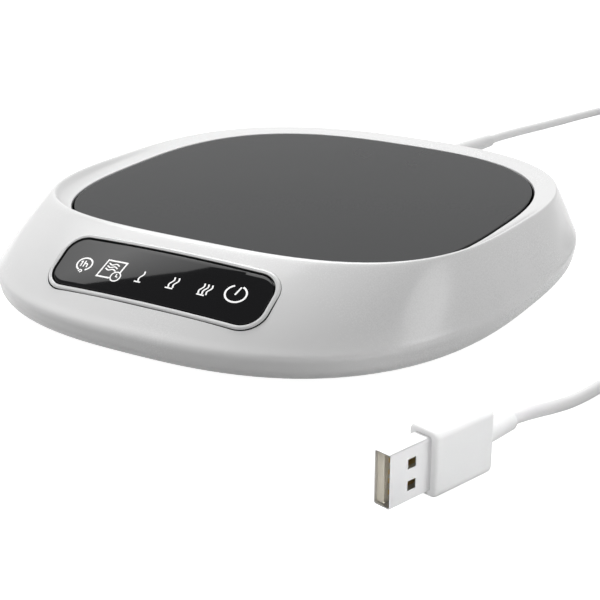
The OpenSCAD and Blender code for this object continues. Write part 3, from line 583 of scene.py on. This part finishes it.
def on_panel(x, y, z):
    """Points on the bowed panel: across it, up it, and off its face."""
    x, y, z = np.broadcast_arrays(np.asarray(x, float), y, z)
    return placed(panel_frame, np.stack([x, y, np.sqrt((lens_bow + z) ** 2 - x**2) - lens_bow], axis=-1))


def panel_outline(grow, steps=14, across=56, up=3):
    """The lens's rounded outline, grown or drawn in, with even points along its straight sides."""
    r = lens_r + grow
    half_x, half_y = lens_w / 2 - lens_r, lens_h / 2 - lens_r
    line = []
    for sx, sy, start in ((1, 1, 0), (-1, 1, 90), (-1, -1, 180), (1, -1, 270)):
        for i in range(steps + 1):
            a = math.radians(start + 90 * i / steps)
            line.append((sx * half_x + r * math.cos(a), sy * half_y + r * math.sin(a)))
        begin = line[-1]
        if start in (0, 180):
            run, end = across, (-sx * half_x, sy * (half_y + r))
        else:
            run, end = up, (sx * (half_x + r), -sy * half_y)
        line += [(begin[0] + (end[0] - begin[0]) * k / run, begin[1] + (end[1] - begin[1]) * k / run)
                 for k in range(1, run)]
    return np.array(line)


def panel_slab(name, profile, columns=90, rows=9):
    """A slab with the lens's outline, bowed like the panel. The profile's rows say how far it stands
    out of the outline and how high off the face, from its top edge to its bottom edge."""
    layers = []
    for grow, z in profile:
        half_w, half_h, r = lens_w / 2 + grow, lens_h / 2 + grow, lens_r + grow
        x = half_w * np.sin(np.linspace(-math.pi / 2, math.pi / 2, columns))
        end = np.clip(abs(x) - (half_w - r), 0, r)
        tall = half_h - r + np.sqrt(np.maximum(r * r - end * end, 0))
        layers.append(on_panel(x[:, None], tall[:, None] * np.linspace(-1, 1, rows)[None, :], z))
    grid = np.arange(columns * rows).reshape(columns, rows)
    edge = np.concatenate([grid[:, 0], grid[-1, 1:], grid[-2::-1, -1], grid[0, -2:0:-1]])
    layers = [np.asarray(layer).reshape(-1, 3) for layer in layers]
    count, n = columns * rows, len(edge)
    points = np.concatenate([layers[0], *[layer[edge] for layer in layers[1:-1]], layers[-1]])
    starts = [edge] + [count + k * n + np.arange(n) for k in range(len(layers) - 2)]
    starts.append(count + (len(layers) - 2) * n + edge)
    faces = []
    for g in (grid, grid + count + (len(layers) - 2) * n):
        faces += np.stack([g[:-1, :-1], g[1:, :-1], g[1:, 1:], g[:-1, 1:]], -1).reshape(-1, 4).tolist()
    for a, b in zip(starts, starts[1:]):
        faces += np.stack([a, np.roll(a, -1), np.roll(b, -1), b], -1).tolist()
    return skin(name, points, faces)


def panel_ring(profile):
    """Rings round the panel, from rows of (how far out of the lens's outline, height off the face, how
    much further out along the top edge)."""
    top = np.clip(panel_outline(0)[:, 1:] / (lens_h / 2), 0, 1)
    rings = []
    for grow, z, more in profile:
        line = panel_outline(grow) * (1 - top) + panel_outline(grow + more) * top
        rings.append(on_panel(*line.T, z))
    return rings


slip, drill = 0.1, 7
pocket = panel_slab("pocket_tool", [(frame_w + slip, 8), (frame_w + slip, seat_z - slip)])
window = panel_slab("window_tool", [(-ledge, 4), (-ledge, -9)])
points, faces = ring_skin(turned([(x, boot_d / 2 + slip) for x in (-drill, drill)]), closed=False)
hole = skin("hole_tool", placed(boot_frame, points), faces)
cut(body, [pocket, window, hole])
work = bmesh.new()
work.from_mesh(body.data)
for points, faces in boss_parts:
    corners = [work.verts.new(Vector(p) * MM) for p in points]
    for face in faces:
        work.faces.new([corners[i] for i in face])
bmesh.ops.recalc_face_normals(work, faces=work.faces)
work.to_mesh(body.data)
work.free()
body.data.shade_smooth()
body.data.set_sharp_from_angle(angle=math.radians(body_sharp))
satin = moulded("satin_shell", grey(0.80), 0.26, grain=700, depth=0.0005, uneven=0.004)
satin.surface({"Coat Weight": 0.3, "Coat Roughness": 0.12})
finished(body, satin, replaces=("top_shell",))

bead_w = 1.23
shut = frame_w + slip - bead_w
ring_line = [(-ledge, seat_z, 0), (frame_w, seat_z, 0), (frame_w, -1.05, 0), (bead_w, -0.95, shut),
             (bead_w, 0.02, shut), (1.2, 0.22, shut / 2), (1.1, 0.38, 0.08), (0.96, 0.47, 0),
             (0.8, 0.52, 0), (0.68, 0.53, 0), (0.62, 0.5, 0), (0.58, 0.41, 0), (0.54, 0.49, 0),
             (0.46, 0.51, 0), (0.34, 0.47, 0), (0.2, 0.36, 0), (0.12, 0.2, 0), (slip, 0, 0),
             (slip, lens_back, 0), (-ledge, lens_back, 0)]
panel_surround = skin("panel_surround", *ring_skin(panel_ring(ring_line)), smooth=50)
finished(panel_surround, satin, replaces=("panel_frame",))
# Black on the ring's walls inside it and down in the gap round it: painted shade, not a real seal.
gap_shade = moulded("black_gap_shade", grey(0.006), 0.8, grain=400)
panel_surround.data.materials.append(gap_shade.block)
around = len(panel_outline(0))
outer_gap, lens_gap = (1, 4), (15, 18)
for first, last in (outer_gap, lens_gap):
    for face in panel_surround.data.polygons[first * around:last * around]:
        face.material_index = 1

lens = panel_slab("touch_lens", [
    (-0.5, lens_top), (-0.4, lens_top - 0.015), (-0.32, lens_top - 0.07), (-0.28, lens_top - 0.17),
    (-0.28, -0.3), (-0.02, -0.32), (0, -0.36), (0, lens_back)], columns=140, rows=17)
black_gloss = Finish("black_gloss")
haze = black_gloss.noise(35, 4)
dust = black_gloss.noise(3000, 2) > 0.72
black_gloss.surface({
    "Base Color": black_gloss.mix(dust * 0.3, (0.006, 0.006, 0.007, 1), (0.02, 0.02, 0.02, 1)),
    "Roughness": haze * 0.02 + 0.01, "Specular IOR Level": 0.5})
finished(lens, black_gloss, replaces=("panel_lens",))


# ---- Key marks: printed white lines on the lens, six of them: one hour, timed heat, three heat
# steps and power. Each is drawn as strokes round its own middle, leaning a little.
key_pitch, key_drop, mark_line, mark_t = 9.05, 0.8, 0.44, 0.05
key_at = [(k - 2.5) * key_pitch for k in range(6)]
mark_points, mark_faces = [], []


def stroke(line, at, width=mark_line, lean=0.0):
    """Prints one line of a mark, with square ends, at a place on the panel."""
    p = np.asarray(line, float)
    ahead = np.gradient(p, axis=0)
    ahead /= np.linalg.norm(ahead, axis=1, keepdims=True)
    side = np.stack([-ahead[:, 1], ahead[:, 0]], axis=1) * width / 2
    base = len(mark_points)
    for z in (lens_top - 0.02, lens_top + mark_t):
        for edge in (p - side, p + side):
            x = edge[:, 0] + lean * edge[:, 1] + at[0]
            mark_points.extend(on_panel(x, edge[:, 1] + at[1], z))
    n = len(p)
    for i in range(n - 1):
        a, b, c, d = (base + k * n + i for k in range(4))
        mark_faces.extend([(a, a + 1, b + 1, b), (c, d, d + 1, c + 1),
                           (a, c, c + 1, a + 1), (b, b + 1, d + 1, d)])
    for i in (0, n - 1):
        mark_faces.append(tuple(base + k * n + i for k in (0, 1, 3, 2)))


def arc(r_x, r_y, start, end, x=0.0, y=0.0):
    t = np.radians(np.linspace(start, end, max(8, int(abs(end - start) / 7))))
    return np.stack([x + r_x * np.cos(t), y + r_y * np.sin(t)], axis=1)


def wavy(height, swing, x=0.0, y=0.0):
    t = np.linspace(-1, 1, 22)
    return np.stack([x + swing * np.sin(t * math.pi * 1.15), y + t * height / 2], axis=1)


nudges = ((-0.5, 0.4), (-0.6, 0.4), (-0.6, 0), (0, 0.2), (0.1, 0.4), (-0.4, 0.5))
hour, timed, low, middle, high, power = [(x + dx, dy - key_drop) for x, (dx, dy) in zip(key_at, nudges)]
stroke(arc(2.3, 1.95, -62, 248), hour)
stroke(arc(0.45, 0.4, -30, 210, -0.1, -2.25), hour, 0.32)
stroke([(-0.1, -2.7), (0.3, -2.35)], hour, 0.34)
stroke([(-0.95, -0.85), (-0.95, 0.95)], hour, 0.36)
stroke([(-1.35, 0.55), (-1.0, 0.85)], hour, 0.3)
stroke([(-0.05, -0.85), (-0.05, 1.05)], hour, 0.36)
stroke(arc(0.5, 0.55, 170, 0, 0.45, -0.25), hour, 0.34)
stroke([(0.95, -0.85), (0.95, -0.2)], hour, 0.36)
lean = 0.16
box = [(1.1, -2.75), (-2.95, -2.75), (-2.95, 2.55), (2.95, 2.55), (2.95, -0.55)]
for begin, end in zip(box, box[1:]):
    (ax, ay), (bx, by) = begin, end
    over = mark_line / 2 / math.hypot(bx - ax, by - ay)
    back = 0 if begin == box[0] else over
    stroke([(ax - (bx - ax) * back, ay - (by - ay) * back),
            (bx + (bx - ax) * over, by + (by - ay) * over)], timed, lean=lean)
for y in (1.45, 0.6, -0.25):
    t = np.linspace(-1, 1, 24)
    stroke(np.stack([t * 1.75 - 0.35, y + 0.22 * np.sin(t * 4.4)], axis=1), timed, 0.34, lean)
stroke(arc(1.42, 1.42, 0, 360, 2.2, -2.0), timed, 0.34)
stroke([(2.2, -2.0), (2.25, -1.1)], timed, 0.28)
stroke([(2.15, -2.0), (2.85, -2.05)], timed, 0.28)
for steps, at in ((1, low), (2, middle), (3, high)):
    gap = (0, 0, 1.3, 1.12)[steps]
    for i in range(steps):
        stroke(wavy(3.1, 0.26, (i - (steps - 1) / 2) * gap + 0.35, 0.1), at, 0.38, 0.2)
    stroke([(-0.95 - 0.35 * (steps > 1), -1.75), (1.0 - 0.05 * steps, -1.75)], at, 0.36)
stroke(arc(2.85, 2.45, 118, 430, 0, 0.8), power, 0.48)
stroke([(-0.1, 0.5), (0.55, 3.0)], power, 0.42)
marks = skin("printed_marks", mark_points, mark_faces)
# The ink glows a little with no lamp behind it: a painted glow for the indicator lamps' backlight.
ink = Finish("white_ink_painted_glow")
ink_grain = ink.noise(4000, 3)
ink.surface({"Base Color": ink.mix(ink_grain, grey(0.86), grey(0.92)),
             "Roughness": ink_grain * 0.1 + 0.45, "Emission Color": grey(1.0), "Emission Strength": 0.3})
finished(marks, ink, replaces=("key_marks",))


# ---- Heating plate: 3 mm dark grey tempered glass with a ground edge, flat and matt. It sits in a
# thin black silicone ring with a running gap to the body's lip. The ring's black is deepened past
# rubber's and has no sheen: partly painted shade for that gap.
plate_gap, gasket_t, glass_z = 0.25, 0.45, 17.5
glass_rings = [plan_ring(opening_plan, plate_gap + gasket_t + inset, z) for inset, z in (
    (2, glass_z), (0.4, glass_z), (0.1, glass_z + 0.1), (0, glass_z + 0.4), (0, plate_z - 0.2),
    (0.03, plate_z - 0.1), (0.1, plate_z - 0.03), (0.2, plate_z), (0.5, plate_z), (3, plate_z))]
glass = skin("glass_plate", *ring_skin(glass_rings, closed=False), smooth=60)
dark_glass = Finish("dark_glass")
smear = dark_glass.noise(28, 4, 0.55, dark_glass.stretched(1, 0.6, 1))
speck = dark_glass.noise(5000, 1)
dark_glass.surface({
    "Base Color": dark_glass.mix(speck, (0.032, 0.033, 0.034, 1), (0.040, 0.041, 0.042, 1)),
    "Roughness": smear * 0.08 + 0.22, "Specular IOR Level": 0.085,
    "Normal": dark_glass.bump(speck, 0.1, 0.004)})
finished(glass, dark_glass, "hot_plate", ("heating_plate",))

gasket_rings = [plan_ring(opening_plan, plate_gap + inset, z) for inset, z in (
    (0, glass_z), (0, plate_z - 0.75), (0.06, plate_z - 0.58), (0.22, plate_z - 0.5),
    (0.38, plate_z - 0.54), (gasket_t, plate_z - 0.6), (gasket_t, glass_z))]
gasket = skin("silicone_ring", *ring_skin(gasket_rings), smooth=60)
# Near-pure black and no sheen: black silicone, darkened further as painted shade for the gap line.
silicone_and_gap_shade = moulded("black_silicone_and_gap_shade", grey(0.002), 0.9, grain=400)
silicone_and_gap_shade.surface({"Specular IOR Level": 0.0})
finished(gasket, silicone_and_gap_shade, "hot_plate", ("plate_gasket",))


# ---- Base: a white cover pressed inside the bottom edge, with four soft grey feet in shallow
# seats and four zinc-plated screws sunk in their holes.
foot_r, foot_seat = 6.0, 2.0
foot_line = [(0.35, 0.0), (0.35, 2.6), (0.2, 3.0), (0.0, 3.2), (0.0, 4.9), (0.12, 5.45), (0.5, 5.85),
             (0.9, foot_r), (foot_seat, foot_r), (foot_seat, 0.0)]
foot_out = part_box("rubber_feet")[1] / MM
foot_parts = [[], []]
for sx in (-1, 1):
    for sy in (-1, 1):
        stand = (Matrix.Translation((sx * (foot_out.x - foot_r), sy * (foot_out.y - foot_r), 0))
                 @ Matrix.Rotation(-math.pi / 2, 4, "Y"))
        rings = turned([(x, max(r, 0.01)) for x, r in foot_line], 48)
        points, faces = ring_skin(rings, closed=False)
        foot_parts[1] += [[i + len(foot_parts[0]) for i in face] for face in faces]
        foot_parts[0] += placed(stand, points).tolist()
feet = skin("soft_feet", *foot_parts, smooth=45)
foot_rubber = moulded("foot_rubber", grey(0.12), 0.7, grain=500, depth=0.03)
finished(feet, foot_rubber, replaces=("rubber_feet",))
cover_plastic = moulded("cover_plastic", grey(0.74), 0.55, grain=450, depth=0.03)
dressed("base_cover", cover_plastic)
dressed("cord_clamp", cover_plastic)
zinc = Finish("zinc_plate")
bloom = zinc.noise(700, 4)
zinc.surface({"Base Color": zinc.mix(bloom, (0.52, 0.52, 0.50, 1), (0.66, 0.66, 0.65, 1)),
              "Metallic": 1.0, "Roughness": bloom * 0.2 + 0.25})
for name in ("base_screws", "board_screws", "clamp_screws"):
    dressed(name, zinc)


# ---- Springs and heater wires: four coil springs of drawn steel lift the plate, and four insulated
# wires run up to the heater. The plate can sink 0.8 mm; both stand here at full height.
cover_top, carrier_z, film_z, board_top = 3.4, 11.9, 15.6, 6.2
spring_at, spring_d, spring_wire, plate_travel = 34.0, 7.0, 0.5, 0.8
spring_turns, flat_turns, spring_steps = 7.5, 0.75, 20
spring_lines = []
for sx in (-1, 1):
    for sy in (-1, 1):
        t = np.arange(0, spring_turns + 0.01, 1 / spring_steps)
        climb = np.clip((t - flat_turns) / (spring_turns - 2 * flat_turns), 0, 1)
        r = (spring_d - spring_wire) / 2
        spring_lines.append(np.stack([
            sx * spring_at + r * np.cos(2 * math.pi * t),
            plate_y + sy * spring_at - r * np.sin(2 * math.pi * t),
            cover_top + spring_wire / 2 + (carrier_z - cover_top - spring_wire) * climb], axis=1))


def as_mesh(piece):
    """The same piece as a mesh."""
    whole = piece.evaluated_get(bpy.context.evaluated_depsgraph_get())
    mesh, name = bpy.data.meshes.new_from_object(whole), piece.name
    bpy.data.objects.remove(piece)
    made = bpy.data.objects.new(name, mesh)
    bpy.context.scene.collection.objects.link(made)
    return made


springs = as_mesh(wire_curve("lift_springs", spring_lines, spring_wire / 2, 2))
spring_steel = Finish("spring_steel")
draw = spring_steel.noise(1200, 3)
spring_steel.surface({"Base Color": spring_steel.mix(draw, (0.42, 0.42, 0.43, 1), (0.58, 0.58, 0.58, 1)),
                      "Metallic": 1.0, "Roughness": draw * 0.15 + 0.28})
finished(springs, spring_steel, replaces=("plate_springs",))
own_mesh(springs)

wire_at = (18.0, plate_y + 14)
wire_lines = {0.65: [(-1.2, 0), (1.2, 0)], 0.4: [(0, 1.5), (0, -1.5)]}
wires = []
wire_sway = ((1, 1, board_top), (1.08, 1.05, 9), (0.96, 1, 12.5), (1, 1, film_z))
for r, places in wire_lines.items():
    lines = [smooth_line([(wire_at[0] + x * wide, wire_at[1] + y * deep, z)
                          for wide, deep, z in wire_sway], 6) for x, y in places]
    wires.append(as_mesh(wire_curve(f"heater_wires_{int(r * 100)}", lines, r, 4)))
wire_red = moulded("red_insulation", (0.5, 0.04, 0.04, 1), 0.4, grain=300)
finished(wires[0], wire_red, replaces=("heater_leads",))
finished(wires[1], wire_red)
for piece in wires:
    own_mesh(piece)


# ---- Heater stack: the moulded carrier, the rolled aluminium spreader, the etched foil in orange
# film, the felt pad, the glass-bead sensor and the thermal fuse.
dressed("plate_carrier", moulded("carrier_plastic", grey(0.055), 0.5, grain=400, depth=0.03))
aluminium = Finish("rolled_aluminium")
grain = aluminium.noise(900, 4, 0.6, aluminium.stretched(0.04, 1, 1))
aluminium.surface({"Base Color": aluminium.mix(grain, (0.66, 0.67, 0.68, 1), (0.82, 0.83, 0.84, 1)),
                   "Metallic": 1.0, "Roughness": grain * 0.25 + 0.28,
                   "Normal": aluminium.bump(grain, 0.2, 0.01)})
dressed("heat_spreader", aluminium)
film = Finish("heater_foil")
track = film.node("ShaderNodeTexWave", {"bands_direction": "Y"},
                  {"Vector": film.place(), "Scale": 60.0}, out=1)
film.surface({"Base Color": film.mix(track > 0.45, (0.72, 0.30, 0.05, 1), (0.50, 0.36, 0.24, 1)),
              "Roughness": film.noise(80) * 0.15 + 0.28})
dressed("heater_film", film)
felt = Finish("needled_felt")
fibre = felt.noise(1800, 6, 0.75)
felt.surface({"Base Color": felt.mix(fibre, (0.55, 0.52, 0.44, 1), (0.80, 0.77, 0.68, 1)),
              "Roughness": 0.95, "Normal": felt.bump(fibre, 0.9, 0.3)})
dressed("insulation_pad", felt)
bead = Finish("sealed_bead")
bead.surface({"Base Color": bead.mix(bead.noise(900), grey(0.02), grey(0.05)),
              "Roughness": bead.noise(300) * 0.1 + 0.1})
dressed("temperature_sensor", bead)
dressed("thermal_fuse", zinc)


# ---- Weight switch: a black micro switch soldered to the main board. Its ivory nylon plunger stands
# under the carrier and goes down with the plate.
dressed("weight_switch", moulded("switch_body", grey(0.03), 0.45, grain=400))
dressed("switch_plunger", moulded("plunger_nylon", (0.75, 0.72, 0.62, 1), 0.5, grain=350))


# ---- Boards: green solder resist over copper tracks, black moulded parts, the sounder, the lamps,
# the sense springs, the spacer behind the lens and the flat cable between the boards.
resist = Finish("solder_resist")
across = resist.node("ShaderNodeTexWave", {"bands_direction": "X", "wave_type": "BANDS"}, {
    "Vector": resist.place(), "Scale": 170.0, "Distortion": 6.0, "Detail": 1.0}, out=1)
dots = resist.node("ShaderNodeTexVoronoi", {"feature": "F1"}, {"Vector": resist.place(), "Scale": 260.0})
copper = resist.mix(across > 0.72, (0.012, 0.13, 0.055, 1), (0.03, 0.25, 0.11, 1))
resist.surface({"Base Color": resist.mix(dots < 0.16, copper, (0.62, 0.60, 0.55, 1)),
                "Roughness": across * 0.1 + 0.3, "Normal": resist.bump(across, 0.3, 0.03)})
for name in ("main_board", "touch_board"):
    dressed(name, resist)
component = moulded("component_black", grey(0.035), 0.42, grain=500)
for name in ("board_components", "buzzer"):
    dressed(name, component)
dressed("light_shroud", moulded("shroud_black", grey(0.02), 0.6, grain=450))
dressed("touch_springs", gold)
lamp_clear = Finish("lamp_clear")
cloud = lamp_clear.noise(1500)
lamp_clear.surface({"Base Color": lamp_clear.mix(cloud, (0.9, 0.86, 0.68, 1), (1, 0.97, 0.85, 1)),
                    "Roughness": cloud * 0.1 + 0.12})
dressed("indicator_leds", lamp_clear)
ribbon = Finish("ribbon_cable")
cores = ribbon.node("ShaderNodeTexWave", {"bands_direction": "X"},
                    {"Vector": ribbon.place(), "Scale": 310.0}, out=1)
ribbon.surface({"Base Color": ribbon.mix(cores > 0.6, grey(0.82), grey(0.70)),
                "Roughness": cores * 0.1 + 0.4, "Normal": ribbon.bump(cores, 0.5, 0.1)})
dressed("ribbon_cable", ribbon)
dressed("inlet_lead", jacket)
